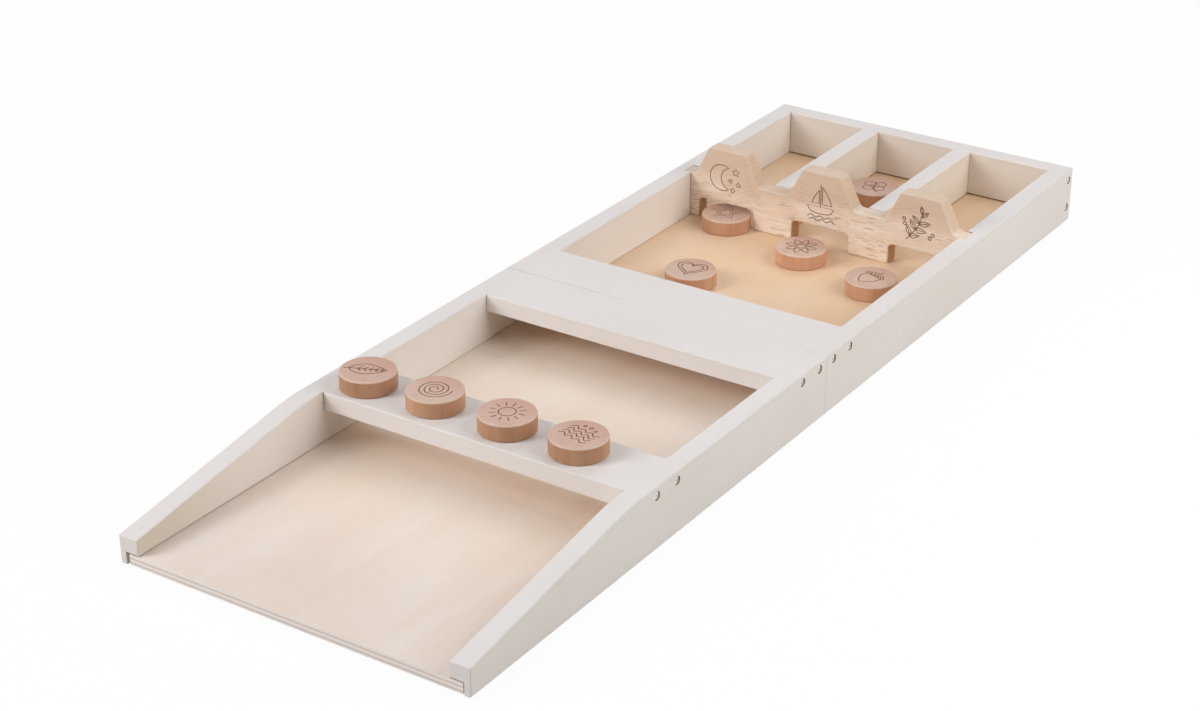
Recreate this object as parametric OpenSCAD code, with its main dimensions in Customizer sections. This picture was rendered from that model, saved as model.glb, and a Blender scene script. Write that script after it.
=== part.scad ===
// Folding sliding-puck board: a painted timber frame in two hinged halves, plywood floors,
// a drop-in scoring gate and loose wooden pucks.
// X runs across the board, Y from the low front end to the goal end, Z up from the table.
// The origin lies on the table, under the middle of the fold.

/* [Frame] */
// Length of the open board
board_l = 980; // [940:10:1060]
// Width of the board over its side rails
board_w = 320; // [310:5:360]
// Thickness of the rails, the end board and the dividers
rail_t = 18; // [16:1:20]
// Height of a rail above its underside
rail_h = 54; // [50:1:60]
// Height of a rail at its low front end
nose_h = 24; // [22:1:30]
// Length of the sloping stretch of a front rail
slope_l = 194; // [150:2:200]
// Width of the eased edges of the timber
ease = 1; // [0.5:0.25:1.5]
// Gap between the two halves at the fold
seam_gap = 0.2; // [0.2:0.1:1]

/* [Floor] */
// Thickness of the plywood floor panels
floor_t = 9; // [8:0.5:9]
// Height of the playing surface above the underside of the rails
floor_h = 10; // [10:0.5:12]
// Depth of the rebate in the rails that takes the panels
rebate_d = 12; // [10:0.5:13]
// Gap beside the panels in the left rebate
panel_gap_left = 3; // [0.5:0.5:3]
// Gap beside the panels in the right rebate
panel_gap_right = 0.5; // [0.5:0.5:3]

/* [Cross boards] */
// Thickness of the puck rest and the bridge boards
cross_t = 16; // [14:1:18]
// Distance from the front end to the puck rest
rest_y = 215; // [205:1:240]
// Width of the puck rest, along the board
rest_w = 58; // [50:1:64]
// Width of each bridge board, along the board
bridge_w = 56; // [50:1:64]

/* [Goal end] */
// Distance from the fold to the front face of the gate
gate_y = 278; // [270:1:290]
// Thickness of the gate
gate_t = 16; // [12:1:18]
// Depth of the slots in the rails that hold the gate's ends
slot_d = 6.5; // [5:0.5:8]
// Play of the gate in its slots, on each side
slot_play = 0.3; // [0.2:0.1:0.5]
// Distance between the middles of neighbouring arches
arch_pitch = 102; // [100:1:104]
// Width of an arch
arch_w = 60; // [54:1:62]
// Height of an arch above the floor
arch_h = 20; // [18:1:24]
// Height of the gate's raised fields above the rails
field_h = 30; // [20:1:36]
// Width of a raised field at its top
field_top_w = 40; // [30:1:46]
// Width of a raised field at its base
field_base_w = 70; // [60:1:72]
// Radius at the corners of the gate's top edge
field_r = 5; // [3:1:7]

/* [Pucks] */
// Diameter of a puck
puck_d = 47; // [40:1:48]
// Thickness of a puck
puck_h = 15; // [10:1:16]
// Width of a puck's eased rims
puck_ease = 1.5; // [0.5:0.1:2]

/* [Fittings] */
// Height at which the feet hold the underside of the rails
foot_h = 4; // [4:0.5:6]
// Diameter of a foot
foot_d = 12; // [10:1:16]
// Length of a hinge, across the board
hinge_l = 50; // [40:5:60]
// Width of a hinge leaf, from the pin's axis
leaf_w = 20; // [16:1:24]
// Distance from the middle of the board to the middle of a hinge
hinge_x = 90; // [80:5:90]

/* [Hidden] */
$fn = 48;
tiny = 0.1;             // gap under what only rests on a surface
half_l = board_l / 2;
half_w = board_w / 2;
inner_w = board_w - 2 * rail_t;
rail_top = foot_h + rail_h;
floor_top = foot_h + floor_h;
panel_under = floor_top - floor_t;
slope_end = slope_l - half_l;
rest_front = rest_y - half_l;
lane_w = (inner_w - 2 * rail_t) / 3;
divider_x = (lane_w + rail_t) / 2;
divider_y = gate_y + gate_t + slot_play;
goal_y = half_l - rail_t;
gate_l = inner_w + 2 * (slot_d - slot_play);
arch_r = 4;

// Frame screws, with flat heads sunk below the faces of the rails
frame_screw_d = 4;
frame_screw_head = 8;
frame_screw_l = 40;
frame_screw_sink = 1.4;
cross_screw_pitch = 28;
rest_screw_at = [rest_front + rest_w / 2 + 2.5, rail_top - cross_t / 2];
bridge_screw_at = [bridge_w / 2 - 2.25, rail_top - cross_t / 2 + 1];
end_screw_zs = [foot_h + 16, foot_h + 44];

// Small screws that hold the panels, from below
floor_screw_d = 3;
floor_screw_head = 6;
floor_screw_l = 16;
floor_screw_x = half_w - 13;
floor_screw_ys = [25, 165, 305, 470];
divider_screw_ys = [330, 440];

// Hinges: leaves let in under the panels, with the pin just below them
leaf_t = 1;
knuckle_d = 4;
knuckles = 5;
knuckle_gap = 0.2;
pin_d = 2;
pin_play = 0.05;
leaf_gap = 0.3;
pin_z = panel_under - leaf_gap - knuckle_d / 2;
leaf_screw_d = 2.5;
leaf_screw_head = 4.5;
leaf_screw_l = 8;
leaf_screw_ys = 13;

// Feet, set so that those beside the fold miss each other when the board is folded
foot_x = 130;
front_foot_ys = [-465, -60];
rear_foot_ys = [85, 465];

// Middles of the pucks: four wait on the rest, five lie on the floor of the rear half
rest_pucks = [[-118, -247], [-53, -245], [16, -245], [82, -245]];
floor_pucks = [[-96.5, 270], [2, 240], [88, 215], [-57, 141], [-10, 407]];
pucks = concat(
    [for (p = rest_pucks) [p[0], p[1], rail_top + tiny]],
    [for (p = floor_pucks) [p[0], p[1], floor_top + tiny]]
);

// Turns a shape made for the left side over to the given side, -1 left or 1 right
module on_side(side) {
    if (side < 0) children();
    else mirror([1, 0, 0]) children();
}

// Turns a shape made for the rear half, +Y, over to the given half, -1 front or 1 rear
module on_half(half) {
    if (half > 0) children();
    else mirror([0, 1, 0]) children();
}

module block(low, high) {
    translate(low) cube(high - low);
}

// A board between two corners, with all its edges eased
module eased_board(low, high) {
    hull()
        for (axis = [0 : 2]) {
            inset = [for (i = [0 : 2]) i == axis ? 0 : ease];
            block(low + inset, high - inset);
        }
}

// Screw with a flat countersunk head, pointing along +Z from its head at the origin
module screw_body(shank_d, head_d, screw_l) {
    head_depth = (head_d - shank_d) / 2;
    rotate_extrude()
        polygon([
            [0, 0], [head_d / 2, 0], [shank_d / 2, head_depth],
            [shank_d / 2, screw_l - shank_d], [0, screw_l]
        ]);
}

module cross_slot(head_d) {
    slot_w = head_d * 0.12;
    slot_l = head_d * 0.55;
    slot_depth = head_d * 0.14;
    for (turn = [0, 90])
        rotate([0, 0, turn])
            translate([-slot_l / 2, -slot_w / 2, -tiny])
                cube([slot_l, slot_w, slot_depth + tiny]);
}

module screw(shank_d, head_d, screw_l) {
    difference() {
        screw_body(shank_d, head_d, screw_l);
        cross_slot(head_d);
    }
}

// Places a frame screw's shape in the left rail, its head sunk under the outer face
module at_frame_screw(y, z) {
    translate([-half_w + frame_screw_sink, y, z]) rotate([0, 90, 0]) children();
}

// [y, z] of the two screws in one end of a cross board, about their middle
function cross_screws(y, z) = [for (step = [-0.5, 0.5]) [y + step * cross_screw_pitch, z]];

// [y, z] of the frame screws on one side of one half, -1 front or 1 rear
function frame_screws(half) = concat(
    cross_screws(half * bridge_screw_at[0], bridge_screw_at[1]),
    half < 0
        ? cross_screws(rest_screw_at[0], rest_screw_at[1])
        : [for (z = end_screw_zs) [half_l - rail_t / 2, z]]
);

module frame_screw_set(half) {
    for (side = [-1, 1])
        on_side(side)
            for (p = frame_screws(half))
                at_frame_screw(p[0], p[1])
                    screw(frame_screw_d, frame_screw_head, frame_screw_l);
}

module frame_screw_holes(half) {
    for (side = [-1, 1])
        on_side(side)
            for (p = frame_screws(half))
                at_frame_screw(p[0], p[1]) {
                    screw_body(frame_screw_d, frame_screw_head, frame_screw_l);
                    translate([0, 0, -2 * frame_screw_sink])
                        cylinder(d = frame_screw_head, h = 2 * frame_screw_sink);
                }
}

// [x, y] of the floor screws of one half
function floor_screws(half) = concat(
    [for (side = [-1, 1], y = floor_screw_ys) [side * floor_screw_x, half * y]],
    half < 0 ? [] : [for (side = [-1, 1], y = divider_screw_ys) [side * divider_x, y]],
    half < 0 ? [] : [for (side = [-1, 1]) [side * lane_w, half_l - rail_t / 2]]
);

module floor_screw_set(half) {
    for (p = floor_screws(half))
        translate([p[0], p[1], panel_under])
            screw(floor_screw_d, floor_screw_head, floor_screw_l);
}

module floor_screw_holes(half) {
    for (p = floor_screws(half))
        translate([p[0], p[1], panel_under])
            screw_body(floor_screw_d, floor_screw_head, floor_screw_l);
}

// Rebate for the floor panel, along the inner foot of the left rail
module rebate() {
    block([-half_w + rail_t - rebate_d, -half_l - 1, 0],
          [-half_w + rail_t + 1, half_l + 1, floor_top]);
}

// Front rail: low at the nose, then a slope up to full height, with all edges eased
module rail_front(side) {
    fold_y = -seam_gap / 2;
    side_view = [
        [-half_l, foot_h], [fold_y, foot_h], [fold_y, rail_top],
        [slope_end, rail_top], [-half_l, foot_h + nose_h]
    ];
    color("white")
        difference() {
            on_side(side)
                difference() {
                    hull() {
                        rail_slab(-half_w, rail_t) offset(delta = -ease) polygon(side_view);
                        rail_slab(-half_w + ease, rail_t - 2 * ease) polygon(side_view);
                    }
                    rebate();
                }
            frame_screw_holes(-1);
            floor_screw_holes(-1);
        }
}

// Gives a side view, drawn in Y and Z, its thickness across the board
module rail_slab(low_x, width) {
    translate([low_x, 0, 0]) rotate([90, 0, 90]) linear_extrude(width) children();
}

module rail_rear(side) {
    color("white")
        difference() {
            on_side(side)
                difference() {
                    eased_board([-half_w, seam_gap / 2, foot_h],
                                [-half_w + rail_t, half_l, rail_top]);
                    rebate();
                    gate_slot();
                }
            frame_screw_holes(1);
            floor_screw_holes(1);
        }
}

module gate_slot() {
    block([-half_w + rail_t - slot_d, gate_y - slot_play, floor_top],
          [-half_w + rail_t + 1, gate_y + gate_t + slot_play, rail_top + 1]);
}

// Plywood floor of one half, let into the rebates
module floor_panel(half) {
    rebate_x = half_w - rail_t + rebate_d;
    color("burlywood")
        difference() {
            on_half(half)
                block([-rebate_x + panel_gap_left, seam_gap / 2, panel_under],
                      [rebate_x - panel_gap_right, half_l, floor_top]);
            floor_screw_holes(half);
            leaf_screw_holes(half);
        }
}

// Board between the rails, level with their tops
module cross_board(low_y, width, half) {
    color("white")
        difference() {
            eased_board([-inner_w / 2, low_y, rail_top - cross_t],
                        [inner_w / 2, low_y + width, rail_top]);
            frame_screw_holes(half);
        }
}

module end_board() {
    color("white")
        difference() {
            eased_board([-inner_w / 2, goal_y, floor_top], [inner_w / 2, half_l, rail_top]);
            frame_screw_holes(1);
            floor_screw_holes(1);
        }
}

module divider(side) {
    color("white")
        difference() {
            on_side(side)
                eased_board([-divider_x - rail_t / 2, divider_y, floor_top],
                            [-divider_x + rail_t / 2, goal_y, rail_top]);
            floor_screw_holes(1);
        }
}

// Top edge of the gate: three raised fields, rounded where they rise and at their corners
module gate_top_outline() {
    offset(r = field_r) offset(delta = -field_r)
        offset(r = -field_r) offset(delta = field_r) {
            translate([-board_w, 0]) square([2 * board_w, rail_top]);
            for (step = [-1 : 1])
                translate([step * arch_pitch, rail_top])
                    polygon([
                        [-field_base_w / 2, -1], [-field_base_w / 2, 0],
                        [-field_top_w / 2, field_h], [field_top_w / 2, field_h],
                        [field_base_w / 2, 0], [field_base_w / 2, -1]
                    ]);
        }
}

module arch_outline() {
    offset(r = arch_r) offset(delta = -arch_r)
        square([arch_w, 2 * arch_h], center = true);
}

module gate_board() {
    foot_z = floor_top + tiny;
    color("bisque")
        translate([0, gate_y + gate_t, 0])
            rotate([90, 0, 0])
                linear_extrude(gate_t)
                    difference() {
                        intersection() {
                            gate_top_outline();
                            translate([-gate_l / 2, foot_z]) square([gate_l, board_w]);
                        }
                        for (step = [-1 : 1])
                            translate([step * arch_pitch, floor_top]) arch_outline();
                    }
}

module puck(place) {
    color("tan")
        translate(place)
            rotate_extrude()
                polygon([
                    [0, 0], [puck_d / 2 - puck_ease, 0], [puck_d / 2, puck_ease],
                    [puck_d / 2, puck_h - puck_ease], [puck_d / 2 - puck_ease, puck_h],
                    [0, puck_h]
                ]);
}

// Hinge leaf of one half: a plate under the panel, with every other knuckle
module hinge_leaf(side, half) {
    step = hinge_l / knuckles;
    own = half < 0 ? [0 : 2 : knuckles - 1] : [1 : 2 : knuckles - 2];
    color("silver")
        translate([side * hinge_x - hinge_l / 2, 0, 0])
            difference() {
                on_half(half)
                    union() {
                        block([0, knuckle_d / 2 + leaf_gap, panel_under - leaf_t],
                              [hinge_l, leaf_w, panel_under]);
                        for (i = own) {
                            low = i * step + (i == 0 ? 0 : knuckle_gap / 2);
                            high = (i + 1) * step - (i == knuckles - 1 ? 0 : knuckle_gap / 2);
                            block([low, 0, panel_under - leaf_t],
                                  [high, knuckle_d / 2 + leaf_gap + tiny, panel_under - leaf_gap]);
                            translate([low, 0, pin_z])
                                rotate([0, 90, 0])
                                    cylinder(d = knuckle_d, h = high - low);
                        }
                    }
                translate([-1, 0, pin_z])
                    rotate([0, 90, 0])
                        cylinder(d = pin_d + 2 * pin_play, h = hinge_l + 2);
                translate([hinge_l / 2 - side * hinge_x, 0, 0]) leaf_screw_holes(half);
            }
}

module hinge_pin(side) {
    color("silver")
        translate([side * hinge_x - hinge_l / 2, 0, pin_z])
            rotate([0, 90, 0])
                cylinder(d = pin_d, h = hinge_l);
}

// Places a leaf screw's shape, its head flush with the underside of the leaf
module at_leaf_screws(half) {
    for (side = [-1, 1], step = [-1 : 1])
        translate([side * hinge_x + step * hinge_l / 3, half * leaf_screw_ys,
                   panel_under - leaf_t])
            children();
}

module leaf_screw_holes(half) {
    at_leaf_screws(half) screw_body(leaf_screw_d, leaf_screw_head, leaf_screw_l);
}

module leaf_screw_set(half) {
    color("silver") at_leaf_screws(half) screw(leaf_screw_d, leaf_screw_head, leaf_screw_l);
}

module feet(ys) {
    color("dimgray")
        for (side = [-1, 1], y = ys)
            translate([side * foot_x, y, 0])
                cylinder(d1 = foot_d - 1, d2 = foot_d, h = panel_under);
}

rail_front(-1);  // rail_front_left
rail_front(1);  // rail_front_right
rail_rear(-1);  // rail_rear_left
rail_rear(1);  // rail_rear_right
floor_panel(-1);  // floor_front
floor_panel(1);  // floor_rear
cross_board(rest_front, rest_w, -1);  // puck_rest
cross_board(-bridge_w, bridge_w - seam_gap / 2, -1);  // bridge_front
cross_board(seam_gap / 2, bridge_w - seam_gap / 2, 1);  // bridge_rear
end_board();
divider(-1);  // divider_left
divider(1);  // divider_right
gate_board();
hinge_leaf(-1, -1);  // hinge_leaf_front_left
hinge_leaf(1, -1);  // hinge_leaf_front_right
hinge_leaf(-1, 1);  // hinge_leaf_rear_left
hinge_leaf(1, 1);  // hinge_leaf_rear_right
hinge_pin(-1);  // hinge_pin_left
hinge_pin(1);  // hinge_pin_right
color("silver") frame_screw_set(-1);  // frame_screws_front
color("silver") frame_screw_set(1);  // frame_screws_rear
color("silver") floor_screw_set(-1);  // floor_screws_front
color("silver") floor_screw_set(1);  // floor_screws_rear
leaf_screw_set(-1);  // leaf_screws_front
leaf_screw_set(1);  // leaf_screws_rear
feet(front_foot_ys);  // feet_front
feet(rear_foot_ys);  // feet_rear
for (i = [1 : len(pucks)])
    puck(pucks[i - 1]);
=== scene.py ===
import bmesh
import bpy
from math import atan2, cos, degrees, dist, hypot, pi, radians, sin, tan, tau
from mathutils import Matrix, Vector


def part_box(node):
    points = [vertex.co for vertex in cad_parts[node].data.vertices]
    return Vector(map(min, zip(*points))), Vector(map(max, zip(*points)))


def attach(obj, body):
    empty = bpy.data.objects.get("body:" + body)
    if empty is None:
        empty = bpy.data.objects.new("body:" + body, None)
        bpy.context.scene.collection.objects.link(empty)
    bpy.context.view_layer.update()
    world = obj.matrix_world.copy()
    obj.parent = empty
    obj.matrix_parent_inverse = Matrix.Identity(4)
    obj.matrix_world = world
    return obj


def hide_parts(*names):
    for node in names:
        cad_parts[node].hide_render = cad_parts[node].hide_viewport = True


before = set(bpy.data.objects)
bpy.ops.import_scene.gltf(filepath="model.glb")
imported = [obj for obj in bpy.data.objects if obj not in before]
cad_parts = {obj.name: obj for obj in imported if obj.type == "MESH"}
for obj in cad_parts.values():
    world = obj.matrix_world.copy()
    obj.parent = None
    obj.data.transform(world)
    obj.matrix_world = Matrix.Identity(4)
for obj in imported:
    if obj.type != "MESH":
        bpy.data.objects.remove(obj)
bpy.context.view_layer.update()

scene = bpy.context.scene
mm = 0.001
halves = ((-1, "front"), (1, "rear"))
halfBody = {half: word + "_half" for half, word in halves}
squareWays = ((1, 0, 0), (0, 1, 0), (0, 0, 1))


# An operator of the class below and its reflected form
def bothWays(operation):
    return (lambda self, other: self.maths(operation, self, other),
            lambda self, other: self.maths(operation, other, self))


# An output socket that can stand in a sum, so that shader maths reads as maths
class Wire:
    def __init__(self, tree, socket=None):
        self.tree, self.socket = tree, socket

    # Places one node, sets it, feeds its sockets and gives back one of its outputs
    def node(self, kind, sockets=(), output=0, stops=(), **settings):
        made = self.tree.nodes.new(kind)
        for name, value in settings.items():
            setattr(made, name, value)
        if stops:
            ramp = made.color_ramp
            ramp.interpolation = "EASE"
            for i in range(len(ramp.elements), len(stops)):
                ramp.elements.new(1)
            for stop, (place, shade) in zip(ramp.elements, stops):
                stop.position, stop.color = place, (*shade, 1)
        for name, value in dict(sockets).items():
            if isinstance(value, Wire):
                self.tree.links.new(value.socket, made.inputs[name])
            else:
                made.inputs[name].default_value = value
        return Wire(self.tree, made.outputs[output]) if made.outputs else made

    def maths(self, operation, *values):
        return self.node("ShaderNodeMath", enumerate(values), operation=operation)

    def vectors(self, operation, *values, output=0):
        return self.node("ShaderNodeVectorMath", enumerate(values), output, operation=operation)

    __add__, __radd__ = bothWays("ADD")
    __sub__, __rsub__ = bothWays("SUBTRACT")
    __mul__, __rmul__ = bothWays("MULTIPLY")
    __truediv__, __rtruediv__ = bothWays("DIVIDE")

    def __abs__(self):
        return self.maths("ABSOLUTE", self)

    # Colour from one to another, by a factor
    def blend(self, low, high, factor, how="MIX"):
        low, high = [c if isinstance(c, Wire) else (*c, 1) for c in (low, high)]
        return self.node("ShaderNodeMix", {0: factor, 6: low, 7: high}, 2, data_type="RGBA", blend_type=how)

    # Noise on a place, with so many waves a metre every way or along each axis
    def noise(self, place, waves, detail=2, roughness=0.5, distortion=0, shift=0):
        spread = self.vectors("MULTIPLY", place, waves if isinstance(waves, tuple) else (waves,) * 3)
        return self.node("ShaderNodeTexNoise", {
            "Vector": self.vectors("ADD", spread, (shift,) * 3), "Scale": 1, "Detail": detail,
            "Roughness": roughness, "Distortion": distortion})

    # 0 below the low value and 1 above the high one
    def step(self, value, low, high):
        return self.node("ShaderNodeMapRange", {"Value": value, "From Min": low, "From Max": high},
                         interpolation_type="SMOOTHSTEP")

    # Swings between 0 and 1 as the value grows
    def ripple(self, value):
        return self.maths("SINE", value) * 0.5 + 0.5

    def place(self):
        return self.node("ShaderNodeTexCoord", output="Object")

    def facing(self):
        return self.node("ShaderNodeTexCoord", output="Normal")

    # The x, y or z of a vector
    def part(self, vector, axis):
        return self.node("ShaderNodeSeparateXYZ", {0: vector}, axis)

    # A value that the mesh keeps for each face
    def mark(self, name):
        return self.node("ShaderNodeAttribute", output="Fac", attribute_name=name)


# Clears the nodes of a material or a world, ready for new ones
def freshWire(owner):
    owner.use_nodes = True
    owner.node_tree.nodes.clear()
    return Wire(owner.node_tree)


# A material from finish(wire, ...), which gives the shader's sockets and the height of its bumps
def newMaterial(name, finish, *details):
    material = bpy.data.materials.new(name)
    wire = freshWire(material)
    sockets = finish(wire, *details)
    wave, depth = sockets.pop("height")
    sockets["Normal"] = wire.node("ShaderNodeBump", {"Height": wave, "Strength": 1, "Distance": depth})
    wire.node("ShaderNodeOutputMaterial", {"Surface": wire.node("ShaderNodeBsdfPrincipled", sockets)})
    return material


# A colour as a paint chart gives it, 0 to 255, made linear
def colour(*levels):
    return tuple((c / 255 / 12.92) if c < 10.3 else ((c / 255 + 0.055) / 1.055) ** 2.4 for c in levels)


# The point at a distance and an angle from another
def polar(reach, angle, x=0, y=0):
    return x + reach * cos(angle), y + reach * sin(angle)


coatIndex = 1.45        # how strongly paint and sealed wood mirror the light

print("materials: painted timber")
paintLook = {
    "paint": colour(233, 228, 226),
    "thin": colour(231, 224, 220),    # where the coat is thinner
    "upright": (1, 0.990, 0.975),    # painted shade: upright faces are a little warmer than the tops
    "compartmentShade": (0.975, 0.935, 0.870),    # painted shade, warmer and darker on the upright faces of the compartment boards
    "sidewaysShade": (1, 0.990, 0.950),    # painted shade: faces turned to the left or the right are yellower
    "turned": (0.4, 0.9),    # how squarely a face is turned as its tone sets in
    "handled": (0.87, 0.83, 0.74),    # painted shade on faces turned to the right at the noses, most on the left rail's inner face
    "noseShadeAlong": (-340 * mm, -480 * mm), "noseShadeAside": (220 * mm, -140 * mm),
    "worn": colour(196, 182, 168), "wear": 0.12,    # rubbed edges
    "joint": colour(120, 80, 38),    # open joint lines
    "seamTone": 0.45,    # how dark the seam between the halves is
    "seamAside": (30 * mm, -110 * mm), "seamAlong": (0.55 * mm, 0.3 * mm),
    "hidden": colour(214, 186, 150),    # undersides, which got only a thin first coat
    "roughness": 0.46,
    "grainWaves": (260, 6), "brushWaves": (900, 30),    # across the board and along it
    "grainDepth": 0.03 * mm,
}


def paintFinish(wire, lengthwise, upright):
    look, place, facing = paintLook, wire.place(), wire.facing()

    def waves(across, along):
        return tuple(along if axis == lengthwise else across for axis in range(3))

    grain = wire.noise(place, waves(*look["grainWaves"]), detail=4, roughness=0.6, distortion=0.3)
    strokes = wire.noise(place, waves(*look["brushWaves"]), shift=7)
    peel = wire.noise(place, 700, detail=1, shift=3)
    cloud = wire.noise(place, 7, detail=3, shift=11)
    thin = wire.step(cloud * 0.65 + grain * 0.35, 0.40, 0.68)
    level = wire.step(abs(wire.part(facing, 2)), *look["turned"])
    turned = wire.part(facing, 0)
    tone = wire.blend(look["paint"], look["thin"], thin)
    # Painted shade: upright faces are tinted warmer than the tops, and faces turned to either side yellower
    tone = wire.blend(tone, upright, 1 - level, "MULTIPLY")
    tone = wire.blend(tone, look["sidewaysShade"], wire.step(abs(turned), *look["turned"]), "MULTIPLY")
    aside, along = wire.part(place, 0), wire.part(place, 1)
    # Painted shade: faces turned to the right near the noses, mostly on the left, are darker and warmer
    nose = wire.step(along, *look["noseShadeAlong"]) * wire.step(aside, *look["noseShadeAside"])
    tone = wire.blend(tone, look["handled"], wire.step(turned, *look["turned"]) * nose, "MULTIPLY")
    hidden = wire.step(wire.part(facing, 2), -0.5, -0.95)
    tone = wire.blend(tone, look["hidden"], hidden * wire.step(grain + cloud, 0.6, 1.1))
    rubbed = wire.step(wire.noise(place, 60, detail=4, shift=5), 0.45, 0.7)
    tone = wire.blend(tone, look["worn"], wire.mark("rim") * rubbed * look["wear"])
    tone = wire.blend(tone, look["joint"], wire.mark("joint"))
    # The seam across the middle is a hair open at the left and closed at the right
    gap = wire.step(aside, *look["seamAside"]) * wire.step(abs(along), *look["seamAlong"])
    tone = wire.blend(tone, look["joint"], gap * level * look["seamTone"])
    return {
        "Base Color": tone,
        "Roughness": look["roughness"] + 0.10 * thin + 0.06 * strokes,
        "IOR": coatIndex,
        "height": (grain * 0.6 + strokes * 0.25 + peel * 0.15, look["grainDepth"]),
    }


# The compartment boards' materials carry the stronger painted shade on their upright faces
paintAlong, paintAcross, compartmentShadeAlong, compartmentShadeAcross = (
    newMaterial(kind + "Timber" + way, paintFinish, axis, paintLook[tone])
    for kind, tone in (("painted", "upright"), ("compartmentShade", "compartmentShade"))
    for way, axis in (("Lengthwise", 1), ("Crosswise", 0)))


print("materials: plywood")
plyLook = {
    "front": (colour(247, 234, 222), colour(241, 219, 200)),    # pale and warm tones of each half
    "rear": (colour(245, 218, 190), colour(235, 197, 157)),
    "nose": (0.92, 0.94, 0.98),         # painted shade: a little darker and less red towards the nose
    "noseShadeAlong": (-300 * mm, -470 * mm),
    "pore": colour(176, 138, 104), "poreShare": 0.22,
    "plyPale": colour(250, 240, 232), "plyDark": colour(224, 210, 202),
    "layers": (0.00, 0.10, 0.18, 0.28, 0.36, 0.54, 0.60, 0.70, 0.78, 1.00),     # pale and dark by turns
    "roughness": 0.42, "edgeRoughness": 0.62,
    "fibreDepth": 0.04 * mm, "edgeDepth": 0.06 * mm,
    "underside": 5 * mm, "thickness": 9 * mm,
}


def veneerFinish(wire, pale, warm, shift):
    look, place = plyLook, wire.place()
    # Rotary-cut figure: faint flames from the level lines of a stretched noise, in soft clouds
    flow = wire.noise(place, (9, 1.7, 9), roughness=0.45, distortion=0.6, shift=shift)
    flames = wire.ripple(flow * 34)
    cloud = wire.noise(place, (11, 5.5, 11), detail=4, roughness=0.6, shift=shift + 4)
    fibre = wire.noise(place, (1100, 30, 1100), detail=3, roughness=0.65, shift=shift)
    tone = wire.blend(pale, warm, wire.step(cloud * 0.70 + flames * 0.08 + fibre * 0.22, 0.26, 0.76))
    # Painted shade: the plywood is darker and less red towards the nose
    tone = wire.blend(tone, look["nose"], wire.step(wire.part(place, 1), *look["noseShadeAlong"]), "MULTIPLY")
    pores = wire.step(wire.noise(place, (1300, 90, 1300), detail=1, shift=shift + 9), 0.70, 0.80)
    return {
        "Base Color": wire.blend(tone, look["pore"], pores * look["poreShare"]),
        "Roughness": look["roughness"] + 0.12 * fibre,
        "IOR": coatIndex,
        "height": (fibre * 0.7 + pores * -0.4, look["fibreDepth"]),
    }


# The cut edge of the sheet, with its layers one on the other
def plyEdgeFinish(wire):
    look, place = plyLook, wire.place()
    wander = wire.noise(place, (40, 40, 8)) - 0.5
    level = (wire.part(place, 2) - look["underside"]) / look["thickness"] + wander * 0.06
    stops = [(spot, look["plyDark" if i // 2 % 2 else "plyPale"]) for i, spot in enumerate(look["layers"])]
    layers = wire.node("ShaderNodeValToRGB", {0: level}, stops=stops)
    ends = wire.noise(place, (700, 700, 900), detail=3, roughness=0.7, shift=2)
    return {
        "Base Color": wire.blend(layers, look["pore"], wire.step(ends, 0.5, 0.8) * look["poreShare"]),
        "Roughness": look["edgeRoughness"] + 0.2 * ends,
        "height": (ends, look["edgeDepth"]),
    }


veneerFront = newMaterial("birchVeneerFront", veneerFinish, *plyLook["front"], 0)
veneerRear = newMaterial("birchVeneerRear", veneerFinish, *plyLook["rear"], 21)
plyEdge = newMaterial("birchPlyEdge", plyEdgeFinish)


print("materials: bare wood")
gateLook = {
    "pale": colour(246, 231, 216),
    "warm": colour(239, 216, 195),
    "upper": colour(219, 192, 170),     # greyer wood in the raised fields
    "upperFrom": (46 * mm, 70 * mm), "wander": 50 * mm,
    "fleck": colour(158, 118, 88),
    "endGrain": colour(222, 194, 166),
    "jamb": colour(198, 156, 116),      # darker brown on the cut faces below the arch tops
    "jambTop": (34 * mm, 40 * mm),
    "endPore": colour(178, 140, 106),
    "roughness": 0.5,
    "fibreDepth": 0.06 * mm,
}


def gateFinish(wire):
    look, place = gateLook, wire.place()
    height = wire.part(place, 2)
    cut = wire.step(abs(wire.part(wire.facing(), 0)), 0.72, 0.9)    # faces that cross the grain
    flow = wire.noise(place, (5, 26, 42), detail=3, distortion=0.5)
    fibre = wire.noise(place, (38, 1500, 1500), detail=3, roughness=0.65, shift=3)
    warmth = wire.step(flow * 0.55 + wire.ripple(flow * 34) * 0.2 + fibre * 0.35, 0.36, 0.74)
    upper = wire.step(height + (flow - 0.5) * look["wander"], *look["upperFrom"])
    tone = wire.blend(wire.blend(look["pale"], look["warm"], warmth), look["upper"], upper * 0.8)
    dashes = wire.step(wire.noise(place, (85, 900, 1400), detail=1, shift=5), 0.57, 0.68)
    patches = wire.step(wire.noise(place, (26, 60, 60), shift=8), 0.38, 0.60)
    tone = wire.blend(tone, look["fleck"], dashes * patches * (0.7 - upper * 0.45))
    ends = wire.blend(look["jamb"], look["endGrain"], wire.step(height, *look["jambTop"]))
    dots = wire.step(wire.noise(place, 1400, shift=1), 0.5, 0.72)
    return {
        "Base Color": wire.blend(tone, wire.blend(ends, look["endPore"], dots * 0.6), cut),
        "Roughness": look["roughness"] + 0.15 * fibre,
        "IOR": coatIndex,
        "height": (fibre * 0.6 - dashes * 0.5, look["fibreDepth"]),
    }


gateWood = newMaterial("bareGateTimber", gateFinish)

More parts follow.
